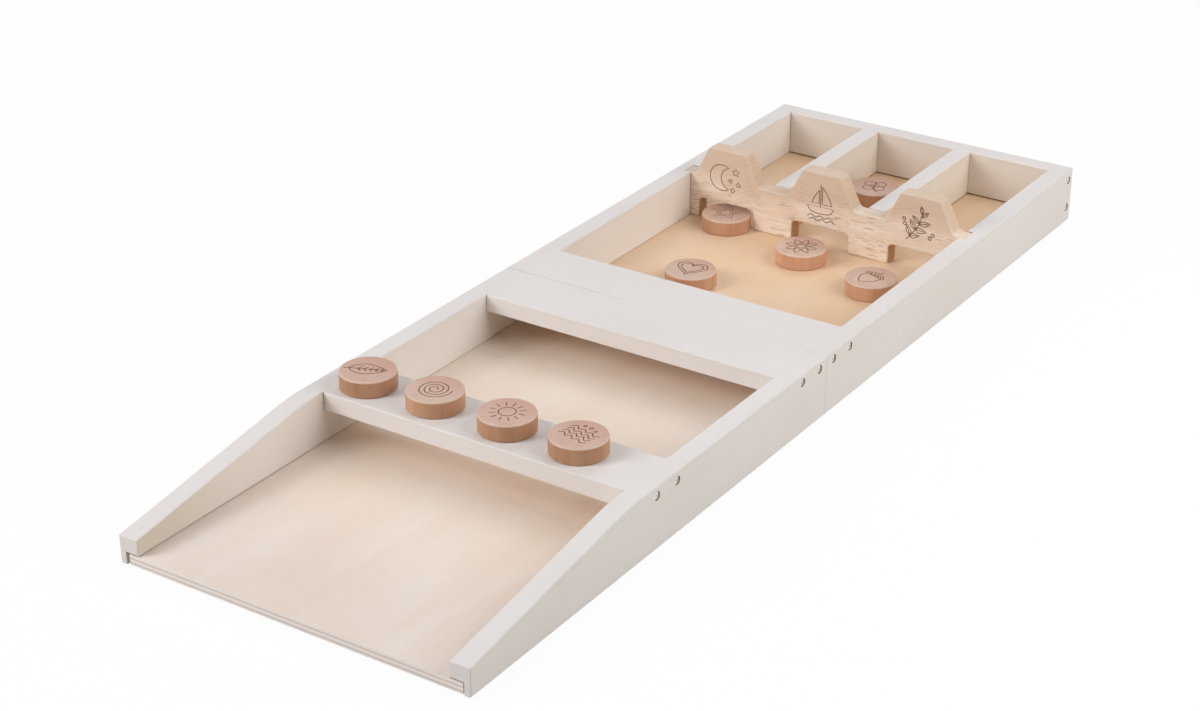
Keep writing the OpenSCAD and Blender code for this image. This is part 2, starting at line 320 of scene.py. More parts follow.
puckLook = {
    "top": (210, 176, 159), "topPale": (219, 191, 172),
    # topFarShade and far: painted sheen, a darker and redder far part of each top
    "topDark": (182, 143, 126), "topFarShade": (197, 150, 130), "far": (-12 * mm, 22 * mm),
    "side": (190, 145, 112), "sidePale": (216, 170, 138),
    "sideDark": (164, 117, 85), "sidePaleDark": (192, 140, 106),
    "ray": (228, 204, 190),
    # painted highlight along the rounded edges
    "rim": (228, 204, 186),
    "roughness": 0.36,
    "pithAway": 31 * mm, "ringWidth": 2.6 * mm, "ringWaver": 3 * mm,
    "grainDepth": 0.04 * mm,
}


# A slice of turned dowel, end grain on its faces; the paler slices come from another dowel
def puckFinish(wire, centre, shade, paler):
    look, place = puckLook, wire.place()

    def between(low, high):
        return colour(*(a + (b - a) * paler for a, b in zip(look[low], look[high])))

    flat = wire.step(abs(wire.part(wire.facing(), 2)), 0.6, 0.95)
    fromPith = wire.vectors("SUBTRACT", place, (*polar(look["pithAway"], shade * 9, centre.x, centre.y), 0))
    reach = wire.vectors("LENGTH", wire.vectors("MULTIPLY", fromPith, (1, 1, 0)), output="Value")
    waver = wire.noise(place, (60, 60, 8), shift=shade * 7)
    rings = wire.ripple((reach + waver * look["ringWaver"]) * (tau / look["ringWidth"]))
    pores = wire.noise(place, (1700, 1700, 60), roughness=0.7, shift=shade * 5)
    specks = wire.step(pores, 0.46, 0.74)
    cloud = wire.step(wire.noise(place, (80, 80, 8), detail=3, shift=shade * 4), 0.45, 0.7)
    top = wire.blend(between("top", "topPale"), colour(*look["topDark"]),
                     rings * 0.12 + specks * 0.45 + cloud * 0.3)
    # Painted sheen: the far part of each top is darker and redder than the near part, which stays paler
    far = wire.step(wire.part(place, 1) - centre.y, *look["far"])
    top = wire.blend(top, colour(*look["topFarShade"]), far * 0.75)
    rays = wire.step(wire.noise(place, (2600, 2600, 90), detail=1, shift=shade), 0.58, 0.72)
    top = wire.blend(top, colour(*look["ray"]), rays * 0.5)
    streaks = wire.noise(place, (800, 800, 26), detail=3, roughness=0.6, shift=shade * 3)
    broad = wire.noise(place, (70, 70, 4), shift=shade * 2)
    side = wire.blend(between("side", "sidePale"), between("sideDark", "sidePaleDark"),
                      wire.step(streaks * 0.4 + broad * 0.6, 0.26, 0.78))
    return {
        # Painted highlight: the rounded edges of the puck are paler
        "Base Color": wire.blend(wire.blend(side, top, flat), colour(*look["rim"]), wire.mark("rim") * 0.7),
        "Roughness": look["roughness"] + 0.14 * streaks,
        "IOR": coatIndex,
        "height": (streaks * 0.5 - specks * 0.3, look["grainDepth"]),
    }


# Two tones mingled by one noise, which roughens and dents the surface too
def mingledFinish(wire, look):
    grit = wire.noise(wire.place(), look["waves"], detail=3)
    return {
        "Base Color": wire.blend(*look["tones"], wire.step(grit, *look["sharp"]) if "sharp" in look else grit),
        "Roughness": look["roughness"] + look["uneven"] * grit,
        "height": (grit, look["depth"]),
    }


burntLine = newMaterial("burntLine", mingledFinish, {
    "tones": (colour(140, 86, 54), colour(96, 56, 34)), "sharp": (0.35, 0.65), "waves": 500,
    "roughness": 0.75, "uneven": 0.1, "depth": 0.05 * mm})
# Darker brown on the walls of the screw holes
holeWallBrown = newMaterial("holeWallBrown", mingledFinish, {
    "tones": (colour(168, 144, 122), colour(136, 112, 92)), "sharp": (0.35, 0.65),
    "waves": (600, 160, 600), "roughness": 0.8, "uneven": 0.1, "depth": 0.1 * mm})


print("materials: metal and rubber")
metalLook = {"uneven": 0.12, "scratched": 0.08, "scratchDepth": 0.01 * mm}


def metalFinish(wire, bright, dull, roughness):
    place = wire.place()
    film = wire.noise(place, 240, detail=3)
    scratch = wire.noise(place, (2400, 260, 2400), shift=6)
    return {
        "Base Color": wire.blend(bright, dull, wire.step(film, 0.4, 0.7)),
        "Metallic": 1,
        "Roughness": roughness + metalLook["uneven"] * film + metalLook["scratched"] * scratch,
        "height": (scratch, metalLook["scratchDepth"]),
    }


screwSteel = newMaterial("platedScrewSteel", metalFinish, colour(238, 235, 229), colour(222, 218, 210), 0.40)
hingeSteel = newMaterial("platedHingeSheet", metalFinish, colour(206, 202, 192), colour(178, 173, 162), 0.32)
footRubber = newMaterial("footRubber", mingledFinish, {
    "tones": (colour(48, 47, 46), colour(64, 62, 60)), "waves": 900,
    "roughness": 0.72, "uneven": 0.15, "depth": 0.03 * mm})


# Makes an object of a bmesh, with its faces turned outwards
def newPiece(name, form, *materials):
    bmesh.ops.recalc_face_normals(form, faces=form.faces)
    mesh = bpy.data.meshes.new(name)
    form.to_mesh(mesh)
    form.free()
    for material in materials:
        mesh.materials.append(material)
    piece = bpy.data.objects.new(name, mesh)
    scene.collection.objects.link(piece)
    return piece


# Turns a piece's modifiers into plain mesh
def settle(piece):
    bpy.context.view_layer.update()
    graph = bpy.context.evaluated_depsgraph_get()
    plain = bpy.data.meshes.new_from_object(
        piece.evaluated_get(graph), preserve_all_data_layers=True, depsgraph=graph)
    piece.modifiers.clear()
    piece.data = plain
    return piece


def discard(thing):
    mesh = thing.data
    bpy.data.objects.remove(thing)
    bpy.data.meshes.remove(mesh)


# Runs one modifier on a piece
def reshape(piece, kind, **settings):
    change = piece.modifiers.new(kind, kind)
    for name, value in settings.items():
        setattr(change, name, value)
    return settle(piece)


# Rounds edges by the layer of weights, or all sharp ones
def softenEdges(piece, width, segments=3, byWeight=True):
    return reshape(piece, "BEVEL", width=width, segments=segments, angle_limit=radians(50),
                   limit_method="WEIGHT" if byWeight else "ANGLE")


def cutAway(piece, cutter, selfCrossing=False):
    reshape(piece, "BOOLEAN", operation="DIFFERENCE", solver="EXACT", use_self=selfCrossing,
            material_mode="TRANSFER", object=cutter)
    discard(cutter)
    return piece


# Gives each face a value for its material to read; rule(face, old) works it out
def markFaces(piece, name, rule):
    marks = piece.data.attributes.get(name) or piece.data.attributes.new(name, "FLOAT", "FACE")
    for face, mark in zip(piece.data.polygons, marks.data):
        mark.value = rule(face, mark.value)


shading = {"sharpAngle": 38, "weight": 60, "flatWithin": 0.995}


# Flat faces keep flat shading, and rounded strips run smoothly into them and are marked as rims
def evenShading(piece, flatWays=()):
    form = bmesh.new()
    form.from_mesh(piece.data)
    for face in form.faces:
        face.smooth = True
    sharp = radians(shading["sharpAngle"])
    for edge in form.edges:
        edge.smooth = len(edge.link_faces) == 2 and edge.calc_face_angle() < sharp
    form.to_mesh(piece.data)
    form.free()
    reshape(piece, "WEIGHTED_NORMAL", weight=shading["weight"], keep_sharp=True)
    ways = [Vector(way).normalized() for way in flatWays]

    def onRim(face, old):
        return float(bool(ways) and all(abs(face.normal.dot(way)) <= shading["flatWithin"] for way in ways))

    markFaces(piece, "rim", onRim)
    return piece


def fitOut(piece, body, slot, *nodes):
    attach(piece, body)
    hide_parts(*nodes)
    return piece


# Rounds the corners of an anticlockwise outline, each an x, a z and a radius, and moves it inwards
def roundedOutline(points, inset):
    smooth = []
    for i, (x, z, radius) in enumerate(points):
        here = Vector((x, z))
        before = (Vector(points[i - 1][:2]) - here).normalized()
        after = (Vector(points[(i + 1) % len(points)][:2]) - here).normalized()
        half = before.angle(after) / 2
        centre = here + (before + after).normalized() * (radius / sin(half))
        first, last = ((here + way * (radius / tan(half)) - centre).normalized() for way in (before, after))
        base = atan2(first.y, first.x)
        swing = (atan2(last.y, last.x) - base + pi) % tau - pi
        steps = max(2, round(abs(swing) / radians(15)))
        reach = radius - inset if swing > 0 else radius + inset     # a corner that juts out, or a hollow one
        for s in range(steps + 1):
            way = first + last if reach < 0 else Vector(polar(1, base + swing * s / steps))
            smooth.append(centre + way * reach)
    return smooth


# The sections of a form with two rounded ends: where each lies from low to high, and how far it is drawn in
def roundedEnds(low, high, first, last, steps):
    bends = [pi / 2 * i / steps for i in range(steps + 1)]
    return ([(low + first * (1 - cos(a)), first * (1 - sin(a))) for a in bends]
            + [(high - last * (1 - cos(a)), last * (1 - sin(a))) for a in reversed(bends)])


# Joins rings of points into a closed skin; a ring that shrinks to a point becomes a pole
def skin(rings, form=None):
    form = bmesh.new() if form is None else form
    rows = [[form.verts.new(p) for p in ring] for ring in rings]
    form.faces.new(rows[0])
    form.faces.new(rows[-1][::-1])
    for near, far in zip(rows, rows[1:]):
        for i in range(len(near)):
            j = (i + 1) % len(near)
            form.faces.new((near[i], far[i], far[j], near[j]))
    bmesh.ops.remove_doubles(form, verts=form.verts, dist=1e-6)
    bmesh.ops.dissolve_degenerate(form, edges=form.edges, dist=1e-6)
    return form


# Points round a circle at a height
def circle(radius, z, count, x=0, y=0):
    return [Vector((*polar(radius, tau * k / count, x, y), z)) for k in range(count)]


# A box from its low to its high corner; softness(x, y, z) gives each edge its share of the rounding
def boxForm(low, high, softness=None):
    form = bmesh.new()
    bmesh.ops.create_cube(form, size=1)
    if softness:
        weight = form.edges.layers.float.new("bevel_weight_edge")
        for edge in form.edges:
            middle = (edge.verts[0].co + edge.verts[1].co) / 2
            edge[weight] = softness(*(round(2 * c) for c in middle))
    for v in form.verts:
        v.co = Vector(h if c > 0 else l for c, l, h in zip(v.co, low, high))
    return form


# Cuts countersunk holes, each a point and the way into the wood; the profile is of depths and radii in mm
def holeCutter(holes, profile):
    form = bmesh.new()
    for point, way in holes:
        base = Matrix.Translation(point) @ Vector(way).to_track_quat("Z", "Y").to_matrix().to_4x4()
        skin([[base @ p for p in circle(radius * mm, depth * mm, 32)] for depth, radius in profile], form)
    return newPiece("holeCutter", form, holeWallBrown)


print("fasteners: places")
plan = {
    "frameX": 158.6,    # the frame screws, each at a y and a z in both rails
    "frame": {-1: ((-11.75, 51), (-39.75, 51), (-257.5, 50), (-229.5, 50)),
              1: ((11.75, 51), (39.75, 51), (481, 20), (481, 48))},
    "floorX": 147, "floorY": (25, 165, 305, 470), "panelUnder": 5,
    "dividers": ((50.33, 330), (50.33, 440)), "endBoard": ((82.67, 481),),
    "leafX": 90, "leafStep": 16.67, "leafY": 13, "leafUnder": 4,
    "footX": 130, "footY": {-1: (-465, -60), 1: (85, 465)},
}


# Each place is a point in metres and the way the fastener points
def framePlaces(half):
    return [(Vector((side * plan["frameX"], y, z)) * mm, (-side, 0, 0))
            for side in (-1, 1) for y, z in plan["frame"][half]]


def fromBelow(spots, z):
    return [(Vector((x, y, z)) * mm, (0, 0, 1)) for x, y in spots]


def floorPlaces(half):
    spots = [(side * plan["floorX"], half * y) for side in (-1, 1) for y in plan["floorY"]]
    if half > 0:
        spots += [(side * x, y) for board in ("dividers", "endBoard") for side in (-1, 1) for x, y in plan[board]]
    return fromBelow(spots, plan["panelUnder"])


def leafPlaces(half):
    return fromBelow([(side * plan["leafX"] + step * plan["leafStep"], half * plan["leafY"])
                      for side in (-1, 1) for step in (-1, 0, 1)], plan["leafUnder"])


def footPlaces(half):
    return fromBelow([(side * plan["footX"], y) for side in (-1, 1) for y in plan["footY"][half]], 0)


print("rails")
railShape = {
    "lip": 6, "rebateTop": 14.4, "noseTop": 28,
    "slopeEnd": -296, "slopeBlend": 16, "blendSteps": 5,
    "outerBottom": 2.2, "lipBottom": 0.5, "hollow": 0.3, "innerBottom": 0.4, "top": 1.3,
    "joint": 0.12, "fade": 2,         # inner top edge where a board meets it flush
    "nose": 0.8, "noseWear": 2.5, "seam": 0.1, "end": 1, "curve": 3,
    "slot": (277.2, 294.3, 148.4),      # from, to and how deep
    "slotSpare": 4, "topSpare": 10,     # how far its cutter stands out of the wood
    "slotTone": 0.8, "plyTone": 0.8,    # the dark of the joint lines there
    "hole": ((-3, 3.8), (0.15, 3.8), (2.7, 1.95), (9, 1.95)),
}


# The top line of a front rail, in mm: flat, then a slope down to the nose, blended where they meet
def railTop(y, low, high):
    shape = railShape
    rise = (high - shape["noseTop"]) / (shape["slopeEnd"] - low)
    past, reach = y - shape["slopeEnd"], shape["slopeBlend"]
    if past <= -reach:
        return high + rise * past
    return high if past >= reach else high - rise * (reach - past) ** 2 / (4 * reach)


def makeRail(name, side, half, *joined):
    shape = railShape
    low, high = (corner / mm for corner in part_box(name))
    outer, inner = sorted((side * low.x, side * high.x), reverse=True)
    lip = outer - shape["lip"]
    joints = [(near.y / mm, far.y / mm) for near, far in map(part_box, joined)]

    def section(y, inset):
        top = railTop(y, low.y, high.z) if half < 0 else high.z
        away = min(max(near - y, y - far, 0) for near, far in joints)
        innerTop = shape["joint"] + (shape["top"] - shape["joint"]) * min(1, away / shape["fade"])
        outline = roundedOutline([
            (outer, low.z, shape["outerBottom"]), (outer, top, shape["top"]), (inner, top, innerTop),
            (inner, shape["rebateTop"], shape["innerBottom"]), (lip, shape["rebateTop"], shape["hollow"]),
            (lip, low.z, shape["lipBottom"])], inset)
        return [(side * p.x * mm, y * mm, p.y * mm) for p in outline]

    between = [edge + away for near, far in joints for edge, away in
               ((near, -shape["fade"]), (near, 0), (far, 0), (far, shape["fade"]))]
    if half < 0:
        steps = shape["blendSteps"]
        between += [shape["slopeEnd"] + shape["slopeBlend"] * t / steps for t in range(-steps, steps + 1)]
    first, last = (shape[end] for end in (("nose", "seam") if half < 0 else ("seam", "end")))
    rings = roundedEnds(low.y, high.y, first, last, shape["curve"])
    rings += [(y, 0) for y in between if low.y + first + 0.1 < y < high.y - last - 0.1]
    form = skin([section(*ring) for ring in sorted(rings)])
    rail = newPiece(name.replace("rail", "painted_rail"), form, paintAlong)
    cutAway(rail, holeCutter([(p, way) for p, way in framePlaces(half) if way[0] == -side], shape["hole"]))
    slotNear, slotFar, slotDeep = shape["slot"]
    if half > 0:
        left, right = sorted((side * (inner - shape["slotSpare"]), side * slotDeep))
        slot = boxForm(Vector((left, slotNear, shape["rebateTop"])) * mm,
                       Vector((right, slotFar, high.z + shape["topSpare"])) * mm)
        cutAway(rail, newPiece("slotCutter", slot, paintAlong))
    slope = (0, shape["noseTop"] - high.z, shape["slopeEnd"] - low.y)
    evenShading(rail, (*squareWays, slope))

    def gapTone(face, old):
        y = face.center.y / mm
        if half < 0:
            overPly = face.normal.z < -0.2 and face.center.z > (shape["rebateTop"] - 1) * mm
            return shape["plyTone"] if overPly and y < shape["slopeEnd"] else 0
        return shape["slotTone"] if abs(face.normal.y) > 0.9 and slotNear - 1 < y < slotFar + 1 else 0

    markFaces(rail, "joint", gapTone)
    if half < 0:        # the nose is rubbed most
        noseEnd = (low.y + shape["nose"]) * mm
        markFaces(rail, "rim", lambda face, old: old * shape["noseWear"] if face.center.y < noseEnd else old)
    return fitOut(rail, halfBody[half], "white_wood", name)


for railSide, word in ((-1, "left"), (1, "right")):
    makeRail("rail_front_" + word, railSide, -1, "puck_rest", "bridge_front")
    makeRail("rail_rear_" + word, railSide, 1, "bridge_rear", "end_board")


print("boards between the rails")
boardEdges = {"long": 1.3, "under": 1, "upright": 1.2, "corner": 0.8, "flush": 0.12, "seam": 0.3, "widest": 1.3}
standOff = 0.3 * mm     # how far the boards on the plywood stand clear of it


# Gives each edge its share of the widest rounding by where it lies: each of x, y and z is -1, 0 or 1.
# Lengthwise is the axis along the board; seam and corners are sides in y
def edgeRule(lengthwise, below, corner, seam=None, corners=(-1, 1)):
    def share(*way):
        if way[lengthwise] == 0:
            kind = "seam" if way[1] == seam else "long" if way[2] > 0 else below
        else:
            kind = corner if way[2] == 0 and way[1] in corners else "flush"
        return boardEdges[kind] / boardEdges["widest"]
    return share


# The joint values say how dark the gaps are under the board and at its corners
def makeBoard(name, half, softness, finish, clear=0, underJoint=0, cornerJoint=0):
    low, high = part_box(name)
    low.z += clear
    board = newPiece("painted_" + name, boxForm(low, high, softness), finish)
    softenEdges(board, boardEdges["widest"] * mm)
    evenShading(board, squareWays)
    rims = [mark.value for mark in board.data.attributes["rim"].data]

    def gapTone(face, old):
        if rims[face.index] > 0 and face.normal.z < 0.1:
            return underJoint if face.normal.z < -0.1 else cornerJoint
        return 0

    markFaces(board, "joint", gapTone)
    return fitOut(board, halfBody[half], "white_wood", name)


makeBoard("puck_rest", -1, edgeRule(0, "under", "upright"), paintAcross, cornerJoint=0.4)
makeBoard("bridge_front", -1, edgeRule(0, "under", "upright", seam=1), paintAcross)
makeBoard("bridge_rear", 1, edgeRule(0, "under", "upright", seam=-1), paintAcross)
makeBoard("end_board", 1, edgeRule(0, "upright", "corner", corners=(-1,)), compartmentShadeAcross, standOff, 0.9, 0.6)
for word in ("left", "right"):
    makeBoard("divider_" + word, 1, edgeRule(1, "upright", "corner"), compartmentShadeAlong, standOff, 0.6, 0.6)


print("plywood floors")
floorCut = {"arris": 0.35, "hole": ((-2, 3.2), (0.05, 3.2), (1.75, 1.5), (7, 1.5))}

for (half, word), face in zip(halves, (veneerFront, veneerRear)):
    panel = newPiece("ply_floor_" + word, boxForm(*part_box("floor_" + word)), face, plyEdge)
    softenEdges(panel, floorCut["arris"] * mm, 2, byWeight=False)
    cutAway(panel, holeCutter(floorPlaces(half), floorCut["hole"]))
    for facet in panel.data.polygons:
        facet.material_index = 0 if abs(facet.normal.z) > 0.9 else 1
    evenShading(panel, squareWays)
    fitOut(panel, halfBody[half], "birch_ply", "floor_" + word)


# Points round an ellipse or part of one, in mm, with angles in degrees
def arc(x, y, radius, start=0, end=360, flat=1):
    steps = max(6, round(abs(end - start) * (radius + 2) / 110))
    turns = [radians(start + (end - start) * i / steps) for i in range(steps + 1)]
    return [(x + radius * cos(a), y + radius * flat * sin(a)) for a in turns]


# A smooth line through a few points
def sweep(*points, steps=7):
    line = []
    ends = [points[0], *points, points[-1]]
    for a, b, c, d in zip(ends, ends[1:], ends[2:], ends[3:]):
        for i in range(steps):
            t = i / steps
            line.append(tuple(
                0.5 * (2 * q + (r - p) * t + (2 * p - 5 * q + 4 * r - s) * t ** 2
                       + (3 * q - p - 3 * r + s) * t ** 3)
                for p, q, r, s in zip(a, b, c, d)))
    return line + [points[-1]]


# A leaf outline with its middle vein
def leaf(x, y, length, width, angle, vein=0.8, steps=12):
    turn = radians(angle)

    def at(along, aside):
        return (x + along * cos(turn) - aside * sin(turn),
                y + along * sin(turn) + aside * cos(turn))

    rim = [(length * i / steps, width / 2 * sin(pi * (i / steps) ** 0.8)) for i in range(steps + 1)]
    drawn = [[at(*p) for p in rim] + [at(along, -aside) for along, aside in rim[-2::-1]]]
    return drawn + ([[at(0.5, 0), at(length * vein, 0)]] if vein else [])


def star(x, y, radius, points=5, inner=0.45, angle=90):
    return [[polar(radius * (inner if i % 2 else 1), radians(angle + 180 * i / points), x, y)
             for i in range(2 * points + 1)]]


def moonAndStars():
    horn = 55
    tipX, tipY = polar(13, radians(horn), -4)
    inside = degrees(atan2(tipY, tipX - 6))
    crescent = arc(-4, 0, 13, horn, 360 - horn) + arc(6, 0, hypot(6 - tipX, tipY), 360 - inside, inside)[1:]
    return [crescent] + star(11, 8, 4.2) + star(14, -4, 3) + star(5.5, -1.5, 2.6) + star(8, -11, 3.2)


# Points at even steps along x that swing up and down by turns
def zigzag(xs, y, swing):
    return [(x, y + (swing if i % 2 else -swing)) for i, x in enumerate(xs)]


def sailingBoat():
    hull = sweep((-15, -6), (-11, -12), (0, -13.5), (11, -12), (15, -6)) + [(-15, -6)]
    sails = [sweep((x, -3), (x, top)) + sweep((x, top), belly, (corner, -3))[1:] + [(x, -3)]
             for x, top, belly, corner in ((1.8, 16, (9, 6), 13), (-1.8, 12, (-7, 4), -10))]
    waves = [sweep(*zigzag(range(shift - 15, shift + 16, 5), y, 1.2)) for y, shift in ((-17, 0), (-20.5, 2))]
    return [hull, [(0, -6), (0, 18)]] + sails + waves


def leafySprig():
    drawn = [sweep((-13, -15), (-6, -6), (0, 3), (3, 15))]
    for x, y, length, angle in ((-10, -11, 11, 12), (-9, -10, 11, 112), (-4, -3, 12, -4), (-4, -3, 11, 122),
                                (0, 3, 12, 12), (0, 4, 10, 138), (2.6, 11, 9, 40), (2.8, 14, 8, 100)):
        drawn += leaf(x, y, length, length * 0.42, angle)
    return drawn + [arc(x, y, 1.6) for x, y in ((-15, 1), (-16, 6), (12, -9), (15, -5))]


def broadLeaf():
    drawn = leaf(-16, 0, 32, 17, 0, vein=0.94)
    for i in range(1, 6):
        root, rise = -13 + 4.6 * i, 4.2 - 0.35 * i
        drawn += [[(root, 0), (root + 3.4, rise)], [(root, 0), (root + 3.4, -rise)]]
    return drawn + [[(-16, 0), (-20, -1.2)]]


def spiral():
    return [[polar(2 + 12.5 * i / 90, i / 90 * 6.1 * pi) for i in range(91)]]


def sun():
    return [arc(0, 0, 7)] + [[polar(9.5, a), polar(15, a)] for a in (tau * i / 12 for i in range(12))]


def ripples():
    drawn = [sweep(*zigzag(range(-14, 15, 4), y, 1.6)) for y in (-7, -2.3, 2.3, 7)]
    return drawn + [arc(0, 13, 1.5), arc(-6, 12, 1.1), arc(6, 12, 1.1)]


def doubleStar():
    return star(0, 0, 16) + star(0, 0, 9.5)


def daisy():
    drawn = [arc(0, 0, 4)]
    for angle in range(0, 360, 45):
        drawn += leaf(*polar(5, radians(angle)), 10.5, 5.6, angle, vein=0)
    return drawn


def acorn():
    cup = arc(0, 3, 11, 0, 180, flat=0.62) + [(11, 3)]
    nut = sweep((-9, 3), (-8.5, -5), (-3.5, -12), (0, -14.5), (3.5, -12), (8.5, -5), (9, 3))
    net = [[(way * x, 3.5), (way * (x + 4), 8.2 - abs(x + 4) * 0.25)] for way in (1, -1) for x in (-9, -5, -1, 3)]
    return [cup, nut, sweep((0, 9.8), (0.6, 13), (2.6, 15))] + net


def heart():
    def line(size):
        return [(size * 0.94 * sin(t) ** 3,
                 size * (13 * cos(t) - 5 * cos(2 * t) - 2 * cos(3 * t) - cos(4 * t)) / 16 + 1.5)
                for t in (tau * i / 48 for i in range(49))]
    return [line(15), line(11)]


def clover():
    drawn = [sweep((0, -1), (1.5, -9), (6, -15))]
    for a in (45, 135, 225, 315):
        x, y = polar(7, radians(a))
        drawn += [arc(x, y, 5.6, a - 155, a + 155), [(0, 0), (x * 0.9, y * 0.9)]]
    return drawn


# A tree with named inputs: make(wire, given) builds its geometry, which is then made real and finished
def newTree(name, inputs, make):
    tree = bpy.data.node_groups.new(name, "GeometryNodeTree")
    sockets = {}
    for label, kind in {**inputs, "finish": "Material"}.items():
        socket = tree.interface.new_socket(label, in_out="INPUT", socket_type="NodeSocket" + kind)
        sockets[label] = socket.identifier
    tree.interface.new_socket("made", in_out="OUTPUT", socket_type="NodeSocketGeometry")
    wire = Wire(tree)

    def given(label):
        return wire.node("NodeGroupInput", output=label)

    real = wire.node("GeometryNodeRealizeInstances", {"Geometry": make(wire, given)})
    finished = wire.node("GeometryNodeSetMaterial", {"Geometry": real, "Material": given("finish")})
    wire.node("NodeGroupOutput", {"made": finished})
    return tree, sockets


# Runs a tree on a piece with these inputs, and keeps what it makes as plain mesh
def runTree(piece, madeTree, **inputs):
    tree, sockets = madeTree
    run = piece.modifiers.new(tree.name, "NODES")
    run.node_group = tree
    for label, value in inputs.items():
        run[sockets[label]] = value
    return settle(piece)


print("burnt line tool")
lineCut = {"width": 0.9, "sides": 6}


# Sweeps a round cutter along drawn lines
def sweptLines(wire, given):
    path = wire.node("GeometryNodeMeshToCurve", {"Mesh": given("lines")})
    profile = wire.node("GeometryNodeCurvePrimitiveCircle",
                        {"Resolution": given("sides"), "Radius": given("radius")}, mode="RADIUS")
    return wire.node("GeometryNodeCurveToMesh", {"Curve": path, "Profile Curve": profile, "Fill Caps": True})


lineSweep = newTree("lineSweep", {"lines": "Geometry", "radius": "Float", "sides": "Int"}, sweptLines)


# Cuts drawn lines, in mm, into a piece; onto() turns a drawn point into a place on its face
def burnIn(piece, strokes, onto):
    form = bmesh.new()
    for stroke in strokes:
        closed = dist(stroke[0], stroke[-1]) < 1e-6
        path = [form.verts.new(onto(*p)) for p in (stroke[:-1] if closed else stroke)]
        for a, b in zip(path, path[1:] + ([path[0]] if closed else [])):
            form.edges.new((a, b))
    cutter = newPiece("lineCutter", form)
    runTree(cutter, lineSweep, radius=lineCut["width"] / 2 * mm, sides=lineCut["sides"], finish=burntLine)
    return cutAway(piece, cutter, selfCrossing=True)


print("gate")
gateShape = {
    "pitch": 102, "arch": 30, "archTop": 34, "archCorner": 4,
    "fieldTop": 20, "fieldBase": 35, "fieldCorner": 5, "railTop": 58,
    "footCorner": 2.2, "endCorner": 0.9, "edge": 1.8, "curve": 4,
}
# each drawing, its middle across and up the gate in mm, and its scale
gateMotifs = ((moonAndStars, -103, 60, 1), (sailingBoat, 0, 60, 0.92), (leafySprig, 102, 58, 0.95))


def makeGate():
    low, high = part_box("gate_board")
    g = gateShape
    base, cap, top = (low.z / mm, g["footCorner"]), (g["archTop"], g["archCorner"]), high.z / mm
    points = [(low.x / mm, *base)]
    for middle in (-g["pitch"], 0, g["pitch"]):
        left, right = middle - g["arch"], middle + g["arch"]
        points += [(left, *base), (left, *cap), (right, *cap), (right, *base)]
    points += [(high.x / mm, *base), (high.x / mm, g["railTop"], g["endCorner"])]
    for middle in (g["pitch"], 0, -g["pitch"]):
        points += [(middle + aside, z, g["fieldCorner"]) for aside, z in (
            (g["fieldBase"], g["railTop"]), (g["fieldTop"], top),
            (-g["fieldTop"], top), (-g["fieldBase"], g["railTop"]))]
    points += [(low.x / mm, g["railTop"], g["endCorner"])]
    layers = roundedEnds(low.y / mm, high.y / mm, g["edge"], g["edge"], g["curve"])
    form = skin([[(p.x * mm, y * mm, p.y * mm) for p in roundedOutline(points, inset)] for y, inset in layers])
    gate = newPiece("bare_gate_board", form, gateWood)
    for draw, x, z, size in gateMotifs:
        burnIn(gate, draw(), lambda u, v: ((x + u * size) * mm, low.y, (z + v * size) * mm))
    evenShading(gate)
    return fitOut(gate, "gate", "gate_wood", "gate_board")


makeGate()


print("pucks")
puckShape = {"ease": 1.5 * mm, "segments": 112, "curve": 4}
# each puck's drawing, how far it is turned, and how pale its wood is
puckMotifs = {
    1: (broadLeaf, 22, 0), 2: (spiral, 0, 0.5), 3: (sun, 9, 0.15), 4: (ripples, -14, 0),
    5: (doubleStar, 12, 0.8), 6: (daisy, 5, 1), 7: (acorn, -20, 0.8), 8: (heart, 8, 0.6), 9: (clover, 15, 0.1),
}


def makePuck(order):
    name = "puck_%d" % order
    low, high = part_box(name)
    centre, radius, ease = (low + high) / 2, (high.x - low.x) / 2, puckShape["ease"]
    form = skin([circle(radius - inset, z, puckShape["segments"], centre.x, centre.y)
                 for z, inset in roundedEnds(low.z, high.z, ease, ease, puckShape["curve"])])
    draw, angle, paler = puckMotifs[order]
    wood = newMaterial("dowelSlice%d" % order, puckFinish, centre, 0.37 * order, paler)
    puck = newPiece("turned_" + name, form, wood)
    turn = radians(angle)
    burnIn(puck, draw(), lambda u, v: (centre.x + (u * cos(turn) - v * sin(turn)) * mm,
                                       centre.y + (u * sin(turn) + v * cos(turn)) * mm, high.z))
    evenShading(puck)
    # Marks the rounded edges, where the finish paints a highlight
    markFaces(puck, "rim", lambda face, old: float(0.15 < face.normal.z < 0.97 and face.material_index == 0))
    return fitOut(puck, name, "puck_wood", name)


for order in puckMotifs:
    makePuck(order)


print("screws and feet")
screwShape = {"rise": 0.6, "lip": 0.04, "recessWidth": 0.26, "recessLength": 1.05, "recessDepth": 0.5,
              "recessSpare": 0.5, "seed": 4}


# Sets copies of a thing on points, each aimed along its point's own direction and spun about it
def aimedCopies(wire, given):
    aim = wire.node("GeometryNodeInputNamedAttribute", {"Name": "aim"}, data_type="FLOAT_VECTOR")
    aimed = wire.node("FunctionNodeAlignRotationToVector", {"Vector": aim}, axis="Z")
    spin = wire.node("FunctionNodeRandomValue", {"Max": tau, "Seed": given("seed")}, 1, data_type="FLOAT")
    swing = wire.node("FunctionNodeEulerToRotation", {"Euler": wire.node("ShaderNodeCombineXYZ", {"Z": spin})})
    turned = wire.node("FunctionNodeRotateRotation", {"Rotation": aimed, "Rotate By": swing}, rotation_space="LOCAL")
    thing = wire.node("GeometryNodeObjectInfo", {"Object": given("thing")}, "Geometry")
    points = wire.node("GeometryNodeMeshToPoints", {"Mesh": given("points")})
    return wire.node("GeometryNodeInstanceOnPoints", {"Points": points, "Instance": thing, "Rotation": turned})


